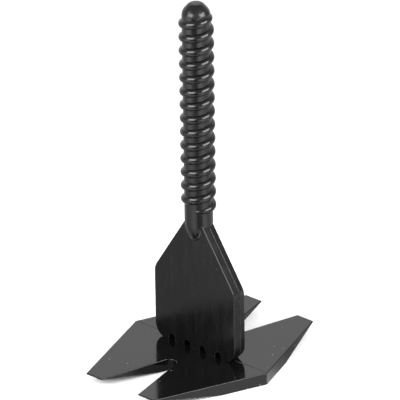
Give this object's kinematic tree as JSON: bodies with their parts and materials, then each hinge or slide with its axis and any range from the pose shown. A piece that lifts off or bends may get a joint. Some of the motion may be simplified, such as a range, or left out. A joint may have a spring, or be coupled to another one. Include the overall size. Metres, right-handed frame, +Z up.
{
  "type": "post anchor spike",
  "caption": "Ribbed round bar on a doubled upright plate, standing on a flat base of two notched wings with chisel-ended prongs, for fixing the foot of a timber post.",
  "frame": {"origin": "middle of the base's underside, below the bar's axis, on the surface the base stands on", "axes": "+Z up along the bar; +X along the upright plate; +Y across the plate, towards one pair of prongs"},
  "size_m": [0.106, 0.14, 0.2296],
  "materials": {
    "wing_enamel": "gloss black stoved enamel over flat steel plate",
    "cheek_enamel": "gloss black stoved enamel over upright steel plate, slightly orange-peeled",
    "bar_enamel": "gloss black stoved enamel over round steel bar",
    "rib_enamel": "gloss black stoved enamel over half-round rib",
    "weld_enamel": "gloss black stoved enamel over rippled weld bead"
  },
  "bodies": {
    "root": {"front_wing_plate": "wing_enamel", "rear_wing_plate": "wing_enamel", "front_cheek_plate": "cheek_enamel", "rear_cheek_plate": "cheek_enamel", "core_rod": "bar_enamel", "helical_rib": "rib_enamel", "front_foot_weld": "weld_enamel", "rear_foot_weld": "weld_enamel", "wing_seam_weld": "weld_enamel"}
  },
  "joints": []
}
